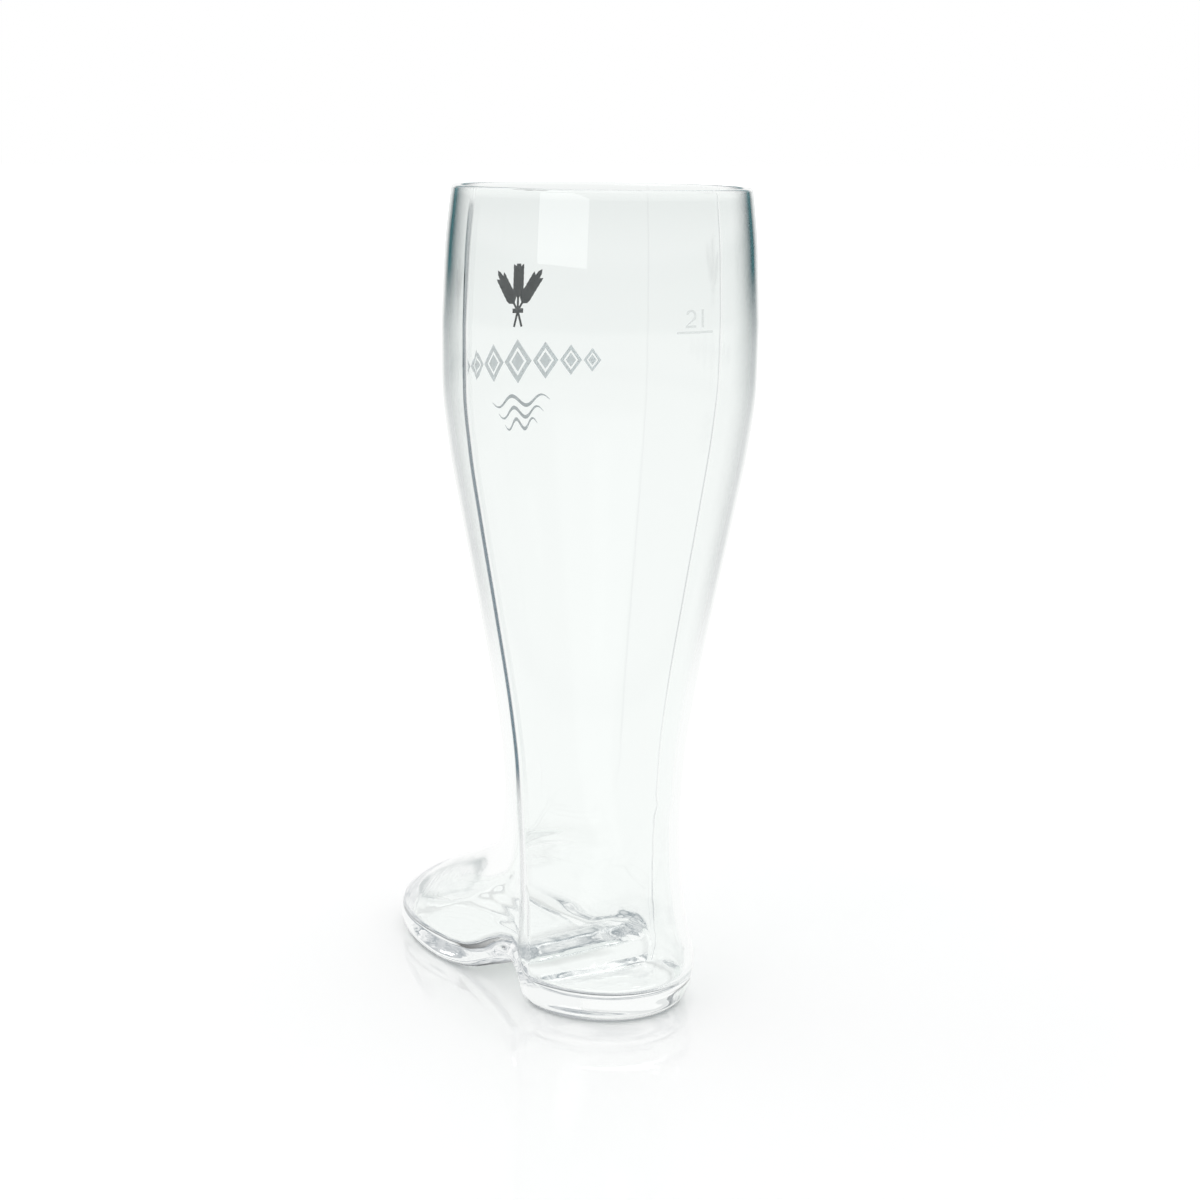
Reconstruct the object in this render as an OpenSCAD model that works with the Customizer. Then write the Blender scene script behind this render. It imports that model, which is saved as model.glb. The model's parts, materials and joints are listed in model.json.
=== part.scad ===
// Beer boot glass for two litres, blown in one piece and fire-polished at the lip.
// Sizes are in millimetres. +X points to the toe, +Y to the left side, +Z up.
// The origin lies on the table, halfway between the back of the calf and the tip of the toe.
// A share is a fraction of the named size that its comment gives.

/* [Shaft] */
// Height from the table to the top of the lip
boot_height = 342; // [300:1:400]
// Outside diameter of the mouth
mouth_diameter = 122; // [110:1:126]
// Outside diameter where the shaft is widest, below the mouth
calf_diameter = 130; // [124:1:140]
// Outside diameter of the ankle, the narrowest place
ankle_diameter = 74.5; // [68:0.5:80]
// Height at which the calf ends and the shin begins
knee_height = 219; // [200:1:225]
// Height at which the shin ends and the foot begins
ankle_height = 91; // [86:1:100]
// Height of the thickened lip
lip_height = 5; // [4:0.5:8]

/* [Foot] */
// Reach of the toe in front of the shaft's axis
toe_reach = 135; // [125:1:145]
// Reach of the heel behind the shaft's axis
heel_reach = 49.5; // [47:0.5:54]
// Height of the arch between heel and sole
arch_height = 14.5; // [12:0.5:17]
// Narrowing of the waist above the arch, on each side
waist_inset = 3.5; // [0:0.5:5]
// Height of the plane where the thick base ends
base_height = 21.5; // [21:0.1:22]
// Radius of the rounding under the heel and the sole
base_rounding = 4.2; // [2:0.1:5]

/* [Glass] */
// Wall thickness at the lip
lip_wall = 2.8; // [2.2:0.1:3]
// Wall thickness halfway down the shaft
shaft_wall = 3.2; // [2.4:0.1:3.4]
// Wall thickness at the ankle
ankle_wall = 3.8; // [3:0.1:4]
// Wall thickness of the foot
foot_wall = 4; // [3.6:0.1:4.4]
// Thickness of the glass under the foot's hollow
sole_thickness = 6; // [5:0.5:7]
// Extra thickness of the glass under the heel's hollow
heel_extra = 3.5; // [2:0.5:5]
// Glass above the crown of the arch
arch_cover = 5; // [4:0.5:6]

/* [Mould seams] */
// Width of a seam
seam_width = 2.2; // [1.4:0.1:3]
// How far a seam stands out of the glass
seam_relief = 0.5; // [0.3:0.1:0.8]

/* [Prints] */
// Thickness of the fired enamel
enamel = 0.25; // [0.2:0.05:0.4]
// Distance from the top of the lip down to the middle of the barley sprig
sprig_drop = 49; // [46:1:52]
// Height of the barley sprig
sprig_height = 28; // [24:1:28]
// Distance from the top of the lip down to the middle of the row of lozenges
lozenge_drop = 77; // [74:1:79]
// Height of the largest lozenge
lozenge_height = 19; // [15:1:20]
// Distance from the top of the lip down to the middle of the waves
wave_drop = 99; // [96:1:102]
// Length of the longest wave
wave_length = 31; // [26:1:34]
// Distance from the top of the lip down to the fill line
fill_drop = 54; // [52:1:56]
// Length of the fill line
fill_length = 17; // [14:1:20]
// Thickness of the fill line and of the numeral's strokes
fill_stroke = 0.9; // [0.7:0.1:1.1]
// Height of the fill numeral
numeral_height = 7; // [6:0.5:8]

/* [Hidden] */
glass = "#dfe9e4";
axis_x = (calf_diameter / 2 - toe_reach) / 2;
round_faces = 180;
sprig_z = boot_height - sprig_drop;
lozenge_z = boot_height - lozenge_drop;
wave_z = boot_height - wave_drop;
fill_z = boot_height - fill_drop;

// Smooth curves through tables
// A table rises in its first column. Between stations each column runs on without overshooting.
function gap(table, i) = table[i + 1][0] - table[i][0];
function steepness(table, i, c) = (table[i + 1][c] - table[i][c]) / gap(table, i);
function inner_tangent(a, b, ga, gb) =
    a * b <= 0 ? 0 : 3 * (ga + gb) / ((2 * gb + ga) / a + (gb + 2 * ga) / b);
function tangent(table, i, c) =
    i == 0 ? steepness(table, 0, c) :
    i == len(table) - 1 ? steepness(table, i - 1, c) :
    inner_tangent(steepness(table, i - 1, c), steepness(table, i, c), gap(table, i - 1), gap(table, i));
function stretch_at(table, x) = max([for (i = [0:len(table) - 2]) if (i == 0 || table[i][0] <= x) i]);
function along(table, i, t, c) =
    table[i][c] * (2 * t ^ 3 - 3 * t ^ 2 + 1) + table[i + 1][c] * (3 * t ^ 2 - 2 * t ^ 3)
    + gap(table, i) * (tangent(table, i, c) * (t ^ 3 - 2 * t ^ 2 + t) + tangent(table, i + 1, c) * (t ^ 3 - t ^ 2));
function station(table, x) =
    let (i = stretch_at(table, x), t = limit((x - table[i][0]) / gap(table, i)))
    [for (c = [0:len(table[0]) - 1]) along(table, i, t, c)];
function limit(u) = min(1, max(0, u));
function ease(u) = limit(u) ^ 2 * (3 - 2 * limit(u));

// Shaft
// Each row: height as a share of boot_height, swell from ankle to calf as a share
shaft_shares = [[0.244, 0], [0.305, 0.046], [0.371, 0.151], [0.499, 0.439], [0.61, 0.705],
                [0.695, 0.892], [0.769, 0.99], [0.841, 1]];
mouth_shares = [[0.841, 1], [0.928, 0.65], [1, 0]];
calf_swell = (calf_diameter - ankle_diameter) / 2;
mouth_narrowing = (calf_diameter - mouth_diameter) / 2;
calf_share = 0.841;
function shaft_radius(z) =
    let (share = z / boot_height)
    share <= calf_share ? ankle_diameter / 2 + calf_swell * station(shaft_shares, share)[1]
    : mouth_diameter / 2 + mouth_narrowing * station(mouth_shares, share)[1];
function shaft_inner(z) =
    shaft_radius(z) - station([[ankle_height, ankle_wall], [boot_height / 2, shaft_wall], [boot_height, lip_wall]], z)[1];

shaft_top = boot_height - lip_height;
half_steps = 24;
function level_at(low, high, i) = low + (high - low) * i / half_steps;
shin_levels = [for (i = [0:half_steps]) level_at(ankle_height, knee_height, i)];
calf_levels = [for (i = [0:half_steps]) level_at(knee_height, shaft_top, i)];
shaft_levels = concat(shin_levels, [for (i = [1:half_steps]) calf_levels[i]]);
function downward(levels) = [for (i = [len(levels) - 1:-1:0]) levels[i]];

module turned(points) {
    translate([axis_x, 0, 0])
        rotate_extrude($fn = round_faces)
            polygon(points);
}

module lip() {
    radius = shaft_radius(boot_height) - lip_wall / 2;
    bead = [for (a = [0:15:180]) [radius + lip_wall / 2 * cos(a), boot_height + lip_wall / 2 * (sin(a) - 1)]];
    color(glass, 0.5)
        turned(concat([[shaft_inner(shaft_top), shaft_top], [shaft_radius(shaft_top), shaft_top]], bead));
}

module leg(levels) {
    color(glass, 0.5)
        turned(concat([for (z = levels) [shaft_radius(z), z]], [for (z = downward(levels)) [shaft_inner(z), z]]));
}

module calf() {
    leg(calf_levels);
}

module shin() {
    leg(shin_levels);
}

// Foot
// The foot is a stack of level rings. Each ring has a round heel, a waist and a round toe.
// Columns: level as a share of ankle_height, back as a share of the way out to heel_reach,
// centre of the heel's arc as a share of heel_reach, half width of the heel as a share of the ankle's radius,
// centre of the toe's arc as a share of toe_reach, tip as a share of the way out to toe_reach,
// half width of the ball as a share of the ankle's radius.
foot_shares = [[0.00, 0.58, 0.147, 0.930, 0.485, 0.930, 1.043],
               [0.07, 0.82, 0.147, 0.970, 0.505, 1.000, 1.039],
               [0.14, 1.00, 0.147, 1.005, 0.515, 0.980, 1.022],
               [0.20, 0.95, 0.147, 1.024, 0.511, 0.916, 0.998],
               [0.25, 0.82, 0.147, 1.012, 0.491, 0.849, 0.973],
               [0.31, 0.66, 0.130, 0.990, 0.437, 0.751, 0.947],
               [0.37, 0.52, 0.110, 0.973, 0.359, 0.631, 0.923],
               [0.44, 0.38, 0.090, 0.961, 0.269, 0.481, 0.889],
               [0.51, 0.25, 0.075, 0.954, 0.186, 0.343, 0.874],
               [0.58, 0.13, 0.055, 0.954, 0.118, 0.215, 0.879],
               [0.66, 0.04, 0.040, 0.957, 0.069, 0.116, 0.903],
               [0.75, -0.02, 0.020, 0.966, 0.035, 0.060, 0.937],
               [0.84, -0.04, 0.010, 0.976, 0.016, 0.026, 0.966],
               [0.92, -0.03, 0.005, 0.988, 0.007, 0.009, 0.986],
               [1.00, 0.00, 0.000, 1.000, 0.000, 0.000, 1.000]];

// The arch: distance from the shaft's axis as a share of toe_reach, height as a share of arch_height.
arch_shares = [[-0.40, 0], [0.010, 0], [0.013, 0.15], [0.019, 0.55], [0.034, 0.85], [0.050, 0.98], [0.067, 1],
               [0.085, 0.95], [0.133, 0.78], [0.193, 0.57], [0.25, 0.37], [0.30, 0.21], [0.35, 0.1], [0.41, 0.035],
               [0.47, 0], [0.80, 0], [0.875, 0.04], [0.942, 0.14], [1, 0.3]];

// The floor of the hollow: distance as a share of toe_reach, share of the rise over the heel,
// share of the rise over the arch.
floor_shares = [[-0.40, 1, 0], [-0.067, 1, 0], [-0.013, 0.9, 0.13], [0.034, 0.6, 0.72], [0.081, 0.2, 1],
                [0.135, 0, 0.95], [0.202, 0, 0.72], [0.283, 0, 0.36], [0.363, 0, 0.1], [0.471, 0, 0], [1, 0, 0]];

ankle_radius = shaft_radius(ankle_height);
arch_fade = 2.1 * arch_height;
hump = arch_height + arch_cover - sole_thickness;
hump_fade = 2.5 * hump;
waist_fade = 0.6 * ankle_height;

function arch_rise(x, z) = arch_height * lookup(x / toe_reach, arch_shares) * (1 - ease(z / arch_fade));
function floor_rise(x, z) =
    let (row = station(floor_shares, x / toe_reach))
    (heel_extra * row[1] + hump * row[2]) * (1 - ease((z - sole_thickness) / hump_fade));

// A ring's own sizes at a level: back, heel centre, heel width, toe centre, tip, ball width
function ring_sizes(z, inset) =
    let (row = station(foot_shares, z / ankle_height))
    [-ankle_radius - (heel_reach - ankle_radius) * row[1] + inset, -heel_reach * row[2],
     ankle_radius * row[3] - inset, toe_reach * row[4],
     ankle_radius + (toe_reach - ankle_radius) * row[5] - inset, ankle_radius * row[6] - inset];

function waist_at(u, z) = waist_inset * limit(1 - z / waist_fade) * sin(180 * u ^ 0.6) ^ 2;
function round_end(reach, length) = sqrt(max(0, 1 - (reach / length) ^ 2));
function half_width(x, z, size) =
    x <= size[1] ? size[2] * round_end(size[1] - x, size[1] - size[0]) :
    x >= size[3] ? size[5] * round_end(x - size[3], size[4] - size[3]) :
    let (u = (x - size[1]) / (size[3] - size[1]))
    size[2] + (size[5] - size[2]) * ease(u) - waist_at(u, z);

// Places around a ring, from the back of the heel along one side to the toe, closer at the arch's steep face
side_angles = [for (a = [4:4:56]) a, for (a = [59:1:70]) a, for (a = [73:4:177]) a];
around = concat([0], side_angles, [180], [for (i = [len(side_angles) - 1:-1:0]) 360 - side_angles[i]]);
half_turn = len(side_angles) + 1;

// The arch is cut up into the foot, so over it a side stands as far out as the foot does at that height.
function ring(z, inset, shape_z, inside) =
    let (size = ring_sizes(shape_z, inset), middle = (size[0] + size[4]) / 2, reach = (size[4] - size[0]) / 2)
    [for (a = around)
        let (x = middle - reach * cos(a), side = a == 0 || a == 180 ? 0 : a < 180 ? 1 : -1,
             rise = inside ? floor_rise(x, z) : arch_rise(x, z),
             over_arch = !inside && x > size[1] && x < size[3],
             level = over_arch ? shape_z + rise : shape_z,
             level_size = over_arch ? ring_sizes(level, inset) : size)
        [x, side * half_width(x, level, level_size), z + rise]];

// Levels as shares of ankle_height, from the ankle down to the base's rounding
level_shares = [1, 0.95, 0.9, 0.84, 0.78, 0.72, 0.66, 0.61, 0.56, 0.51, 0.465, 0.42, 0.38, 0.34, 0.31, 0.28,
                0.25, 0.225, 0.2, 0.17, 0.14];
// Roundings turn inwards in steps of an arc
round_angles = [0, 22, 44, 66, 90];
inner_rounding = 2.4 * base_rounding;
outer_rings = concat(
    [for (s = level_shares) ring(s * ankle_height, 0, s * ankle_height, false)],
    [for (s = [0.1, 0.07]) ring(s * ankle_height, 0, s * ankle_height, false)],
    [for (a = round_angles) let (z = base_rounding * (1 - sin(a)))
        ring(z, base_rounding * (1 - cos(a)), z, false)]);
function hollow_level(z) = min(ankle_height, z + 0.95 * foot_wall);
function hollow_inset(z) = ankle_wall + (foot_wall - ankle_wall) * ease((ankle_height - z) / (0.2 * ankle_height));
inner_rings = concat(
    [for (s = level_shares) let (z = s * ankle_height)
        if (z > sole_thickness + 0.62 * inner_rounding) ring(z, hollow_inset(z), hollow_level(z), true)],
    [for (a = round_angles) let (z = sole_thickness + 0.6 * inner_rounding * (1 - sin(a)))
        ring(z, foot_wall + inner_rounding * (1 - cos(a)), hollow_level(z), true)]);

// Faces between rings that follow each other, and flat ends made of strips across the foot
function skin_faces(rings, n) =
    [for (k = [0:rings - 2], i = [0:n - 1])
        let (a = k * n + i, b = k * n + (i + 1) % n)
        each [[a, a + n, b], [b, a + n, b + n]]];
function end_faces(first, n, up) =
    let (last = n - 1,
         strips = [for (i = [0:half_turn - 2])
             let (a = i, b = i + 1, c = (n - i - 1) % n, d = (n - i) % n)
             each (i == 0 ? [[a, b, c]] : [[a, b, c], [a, c, d]])],
         tip = [[half_turn - 1, half_turn, half_turn + 1]])
    [for (f = concat(strips, tip)) [for (v = up ? [f[2], f[1], f[0]] : f) first + v]];

module ring_stack(rings) {
    n = len(around);
    faces = concat(skin_faces(len(rings), n), end_faces(0, n, false), end_faces((len(rings) - 1) * n, n, true));
    translate([axis_x, 0, 0])
        polyhedron(points = [for (r = rings) each r], faces = faces, convexity = 10);
}

module foot_glass() {
    ring_stack(concat([for (i = [len(inner_rings) - 1:-1:0]) inner_rings[i]], outer_rings));
}

foot_length = toe_reach + heel_reach;
breast_x = axis_x + 0.067 * toe_reach;
module space_above(z) {
    translate([-foot_length, -calf_diameter / 2, z])
        cube([2 * foot_length, calf_diameter, boot_height]);
}
module space_beside(x) {
    translate([x, -calf_diameter / 2, -base_height])
        cube([foot_length, calf_diameter, boot_height]);
}

module foot() {
    color(glass, 0.5)
        intersection() {
            foot_glass();
            space_above(base_height);
        }
}

module base_part() {
    difference() {
        foot_glass();
        space_above(base_height);
        children();
    }
}

module heel() {
    color(glass, 0.5)
        base_part()
            space_beside(breast_x);
}

module sole() {
    color(glass, 0.5)
        base_part()
            space_beside(breast_x - foot_length);
}

// Mould seams
// A seam runs down the side of the shaft and on to the arch, where the mould's halves met.
seam_turn = 2 * asin(seam_width / calf_diameter);
seam_foot_low = 0.3 * ankle_height;
seam_foot_steps = 16;
seam_foot_levels = [for (i = [0:seam_foot_steps])
    seam_foot_low + (ankle_height - seam_foot_low) * i / seam_foot_steps];
function side_at(z) = half_width(0, z, ring_sizes(z, 0));

module seam(side) {
    outside = [for (z = shaft_levels) [shaft_radius(z) + seam_relief, z]];
    backing = [for (z = downward(shaft_levels)) [shaft_radius(z), z]];
    translate([axis_x, 0, 0])
        rotate([0, 0, side * 90 - seam_turn / 2])
            rotate_extrude(angle = seam_turn, $fn = round_faces)
                polygon(concat(outside, backing));
    foot_seam(side);
}

module foot_seam(side) {
    ridge = concat([for (z = seam_foot_levels) [side_at(z) + seam_relief, z]],
                   [[side_at(ankle_height) - foot_wall / 2, ankle_height],
                    [side_at(seam_foot_low) - foot_wall / 2, seam_foot_low]]);
    difference() {
        translate([axis_x - seam_width / 4, 0, 0])
            scale([1, side, 1])
                rotate([90, 0, 90])
                    linear_extrude(seam_width / 2)
                        polygon(ridge);
        ring_stack(outer_rings);
    }
}

module left_seam() {
    color(glass)
        seam(1);
}

module right_seam() {
    color(glass)
        seam(-1);
}

// Prints
// A print is a thin skin on the outside of the shaft, cut to the outline of its motif.
outside_radii = [for (z = shaft_levels) [z, shaft_radius(z)]];
function face_radius(z) = lookup(z, outside_radii);
function skin_outline(low, high) =
    let (levels = concat([low], [for (z = shaft_levels) if (z > low && z < high) z], [high]))
    concat([for (z = levels) [face_radius(z) + enamel, z]], [for (z = downward(levels)) [face_radius(z), z]]);

// Flat motifs are drawn as seen from outside, then laid on the shaft at a turn around its axis.
module laid(z, height, turn = 0) {
    intersection() {
        turned(skin_outline(z - height / 2, z + height / 2));
        translate([axis_x, 0, z])
            rotate([0, 0, turn])
                rotate([90, 0, 90])
                    linear_extrude(calf_diameter)
                        children();
    }
}

// A sheaf of three barley ears tied above its cut stalks
grain_pairs = 5;
ear_length = 0.52 * sprig_height;
grain_length = 0.2 * sprig_height;
grain_width = 0.085 * sprig_height;
stalk_width = 0.035 * sprig_height;
tie_height = -0.22 * sprig_height;
ear_lean = 34;

module grain() {
    polygon([[0, 0], [grain_width / 2, grain_length * 0.35], [grain_width * 0.4, grain_length * 0.7], [0, grain_length],
             [-grain_width * 0.4, grain_length * 0.7], [-grain_width / 2, grain_length * 0.35]]);
}

module ear(stalk) {
    translate([-stalk_width / 2, 0])
        square([stalk_width, stalk + ear_length * 0.9]);
    for (i = [0:grain_pairs - 1], side = [-1, 1])
        translate([side * stalk_width / 3, stalk + ear_length * 0.8 * i / grain_pairs])
            rotate(-side * 24)
                grain();
    translate([0, stalk + ear_length * 0.8])
        grain();
}

module sheaf() {
    translate([0, tie_height]) {
        ear(0.2 * sprig_height);
        for (side = [-1, 1]) {
            rotate(side * ear_lean)
                ear(0.14 * sprig_height);
            rotate(180 + side * 16)
                translate([-stalk_width / 2, 0])
                    square([stalk_width, 0.26 * sprig_height]);
        }
        square([0.2 * sprig_height, 0.07 * sprig_height], center = true);
    }
}

module print_sprig() {
    color("#3a3f38")
        laid(sprig_z, sprig_height)
            sheaf();
}

// A row of lozenge frames that shrink to both ends, each around a solid lozenge
lozenge_count = 3;
lozenge_aspect = 0.76;
lozenge_step = 0.15;
lozenge_gap = 0.04 * lozenge_height;
function lozenge_size(i) = lozenge_height * (1 - lozenge_step * i);
function lozenge_place(i) =
    i == 0 ? 0 : lozenge_place(i - 1) + lozenge_gap
    + lozenge_aspect * (lozenge_size(i - 1) + lozenge_size(i)) / 2;

module lozenge(height) {
    w = lozenge_aspect * height / 2;
    polygon([[w, 0], [0, height / 2], [-w, 0], [0, -height / 2]]);
}

module framed_lozenge(height) {
    difference() {
        lozenge(height);
        lozenge(0.66 * height);
    }
    lozenge(0.46 * height);
}

module print_lozenges() {
    color("#a9adaf")
        for (i = [-lozenge_count:lozenge_count])
            laid(lozenge_z, lozenge_height, sign(i) * lozenge_place(abs(i)) / face_radius(lozenge_z) * 180 / PI)
                framed_lozenge(lozenge_size(abs(i)));
}

// Three waves above each other, each thin at its ends
wave_rows = 3;
wave_swing = 0.07 * wave_length;
wave_stroke = 0.055 * wave_length;
wave_pitch = 0.16 * wave_length;
wave_steps = 32;
function wave_x(i, length) = length * (i / wave_steps - 0.5);
function wave_y(i) = wave_swing * sin(720 * i / wave_steps);
function wave_half(i) = wave_stroke / 2 * (0.15 + 0.85 * sin(180 * i / wave_steps));

module wave(length) {
    polygon(concat([for (i = [0:wave_steps]) [wave_x(i, length), wave_y(i) + wave_half(i)]],
                   [for (i = [wave_steps:-1:0]) [wave_x(i, length), wave_y(i) - wave_half(i)]]));
}

module print_wave() {
    color("#b4b8ba")
        laid(wave_z, wave_rows * wave_pitch + 2 * wave_swing)
            for (row = [0:wave_rows - 1])
                translate([0, wave_pitch * (1 - row)])
                    wave(wave_length * (1 - 0.22 * row));
}

// Fill mark on the back of the shaft: a line and the number of litres above it
module fill_line() {
    turn = fill_length / face_radius(fill_z) * 180 / PI;
    color("#8f9797")
        translate([axis_x, 0, 0])
            rotate([0, 0, 180 - turn / 2])
                rotate_extrude(angle = turn, $fn = round_faces)
                    polygon(skin_outline(fill_z - fill_stroke / 2, fill_z + fill_stroke / 2));
}

module numeral_two() {
    bow = 0.28 * numeral_height;
    arc_end = -35;
    function bow_point(r, a) = [r * cos(a), numeral_height - bow - fill_stroke / 2 + r * sin(a)];
    arc = [for (a = [165:-20:arc_end]) a];
    last = len(arc) - 1;
    polygon(concat([for (a = arc) bow_point(bow + fill_stroke / 2, a)],
                   [[-bow + fill_stroke * 0.4, fill_stroke], [bow + fill_stroke / 2, fill_stroke],
                    [bow + fill_stroke / 2, 0], [-bow - fill_stroke / 2, 0], [-bow - fill_stroke / 2, fill_stroke * 0.8]],
                   [for (i = [last:-1:0]) bow_point(bow - fill_stroke / 2, arc[i])]));
}

module fill_numeral() {
    color("#8f9797")
        laid(fill_z + fill_stroke * 2 + numeral_height / 2, numeral_height, 180)
            translate([0, -numeral_height / 2]) {
                translate([-0.32 * numeral_height, 0])
                    numeral_two();
                translate([0.42 * numeral_height, 0])
                    square([fill_stroke, numeral_height]);
            }
}

lip();
calf();
shin();
foot();
heel();
sole();
left_seam();
right_seam();
print_sprig();
print_lozenges();
print_wave();
fill_line();
fill_numeral();
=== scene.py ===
import json
import math

import bmesh
import bpy
import numpy as np
from mathutils import Matrix, Vector

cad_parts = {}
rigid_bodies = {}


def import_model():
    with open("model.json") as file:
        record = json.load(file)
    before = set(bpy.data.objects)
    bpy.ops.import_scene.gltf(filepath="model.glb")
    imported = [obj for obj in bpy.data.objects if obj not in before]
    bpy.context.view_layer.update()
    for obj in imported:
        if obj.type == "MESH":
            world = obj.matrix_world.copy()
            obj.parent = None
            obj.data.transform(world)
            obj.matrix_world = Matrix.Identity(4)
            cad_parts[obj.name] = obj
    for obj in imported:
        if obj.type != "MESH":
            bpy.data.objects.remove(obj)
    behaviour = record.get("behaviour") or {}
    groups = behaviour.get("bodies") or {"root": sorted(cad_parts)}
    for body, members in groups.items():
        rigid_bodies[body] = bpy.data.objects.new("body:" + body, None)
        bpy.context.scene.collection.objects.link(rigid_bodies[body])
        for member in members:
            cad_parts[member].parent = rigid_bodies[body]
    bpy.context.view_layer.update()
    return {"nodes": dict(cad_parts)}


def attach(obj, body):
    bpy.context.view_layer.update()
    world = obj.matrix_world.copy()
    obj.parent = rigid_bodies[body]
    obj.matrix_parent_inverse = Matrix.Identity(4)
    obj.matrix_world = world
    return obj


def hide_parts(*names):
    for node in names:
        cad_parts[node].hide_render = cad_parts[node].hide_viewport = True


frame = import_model()
print("frame loaded:", ", ".join(sorted(frame["nodes"])))

# The part's own sizes in millimetres
boot = {
    "height": 342.0, "mouth": 122.0, "calf": 130.0, "ankle": 74.5, "ankleHeight": 91.0,
    "toeReach": 135.0, "heelReach": 49.5, "archHeight": 14.5, "waistInset": 3.5, "rounding": 4.2,
    "lipWall": 2.8, "shaftWall": 3.2, "ankleWall": 3.8, "footWall": 4.0,
    "soleThickness": 6.0, "heelExtra": 3.5, "archCover": 5.0,
}
axisX = (boot["calf"] / 2 - boot["toeReach"]) / 2
toMetres = 0.001

# Camera: behind the boot and to its left, looking slightly down
view = {
    "standoff": 0.9650,      # from the shaft's axis, level
    "height": 0.3680,
    "azimuth": 235.354,      # of the picture's right-hand direction, degrees
    "pitch": 11.545,         # downwards
    "roll": 0.856,           # the picture leans clockwise
    "lens": 70.53,           # mm
    "shift": 0.00318,        # for the framing, as a share of the picture's width
}


def placeCamera():
    turn, pitch, roll = (math.radians(view[k]) for k in ("azimuth", "pitch", "roll"))
    outward = Vector((math.sin(turn), -math.cos(turn), 0))
    sideways = Vector((math.cos(turn), math.sin(turn), 0))
    forward = -outward * math.cos(pitch) - Vector((0, 0, math.sin(pitch)))
    upward = sideways.cross(forward)
    right = sideways * math.cos(roll) + upward * math.sin(roll)
    up = upward * math.cos(roll) - sideways * math.sin(roll)
    camera = bpy.data.objects.new("camera", bpy.data.cameras.new("camera"))
    camera.data.lens = view["lens"]
    camera.data.shift_x = view["shift"]
    place = Vector((axisX * toMetres, 0, 0)) + outward * view["standoff"] + Vector((0, 0, view["height"]))
    camera.matrix_world = Matrix.Translation(place) @ Matrix((right, up, -forward)).transposed().to_4x4()
    bpy.context.scene.collection.objects.link(camera)
    bpy.context.scene.camera = camera


placeCamera()
bpy.context.scene.view_settings.view_transform = "Standard"
print("camera placed")


# Materials
def linear(hexColour):
    parts = [int(hexColour[i:i + 2], 16) / 255 for i in (1, 3, 5)]
    return [p / 12.92 if p <= 0.04045 else ((p + 0.055) / 1.055) ** 2.4 for p in parts] + [1.0]


def addNode(tree, kind, settings=None, links=None):
    node = tree.nodes.new(kind)
    for name, value in (settings or {}).items():
        if isinstance(name, int) or name in node.inputs:
            node.inputs[name].default_value = value
        else:
            setattr(node, name, value)
    for name, source in (links or {}).items():
        tree.links.new(source, node.inputs[name])
    return node


def newMaterial(name):
    material = bpy.data.materials.new(name)
    material.use_nodes = True
    material.node_tree.nodes.clear()
    return material, material.node_tree


blownGlass = {
    "tint": "#fbfdfc",       # a faint grey-green, as iron leaves in soda-lime glass
    "thickTint": "#1d3340",  # slate painted shade, in the seams and on the base's rounded edge
    "paintedEdgeShade": "#10363c",   # painted shade towards the outline of the upper leg, stronger higher up
    "edgeStart": 0.44, "edgeEnd": 0.72,      # Layer Weight's facing value between which that tint sets in
    "edgeOuter": (0.76, 0.84),               # and between which it ends again, at the very outline
    "edgeRise": (0.130, 0.200),              # metres above the table between which it comes in faintly
    "edgeTop": (0.276, 0.312),               # and between which it grows to full
    "edgeFaint": 0.52,
    "firstLook": 2.5,        # refractions up to which the painted shade on the base's edge and the contact shadow show in full
    "rimBeyond": 0.25,       # and how much of that painted shade shows in the images of it deeper in the glass
    "ior": 1.52,
    "shadow": "#f4f7f6",     # what the lamps' light has left after passing through
    "waveSize": 46.0,        # mm between the slow waves that blowing leaves
    "waveDepth": 0.00001,    # metres
    "rippleSize": 11.0,      # mm between the ripples of the thick base
    "rippleDepth": 0.00012,  # metres
    "rippleEnd": (0.020, 0.050),             # metres above the table between which they end
    "trappedTurns": 3,       # mirrorings after which light is taken to be caught inside the wall
    "trappedLevel": (0.22, 0.95),            # the level of the painted glow that stands in for it where it comes out again, in streaks of painted shade
    "trappedTop": (0.022, 0.034),            # metres above the table between which the streaks end
    "paintedStreakShade": "#16465a",               # their colour where they are darkest
    "streakSize": 16.0,      # mm between them
    "streakEdges": (0.38, 0.66),             # values of the noise between which they go from dark to light
    "streakSwirl": 1.5,
}
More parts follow.
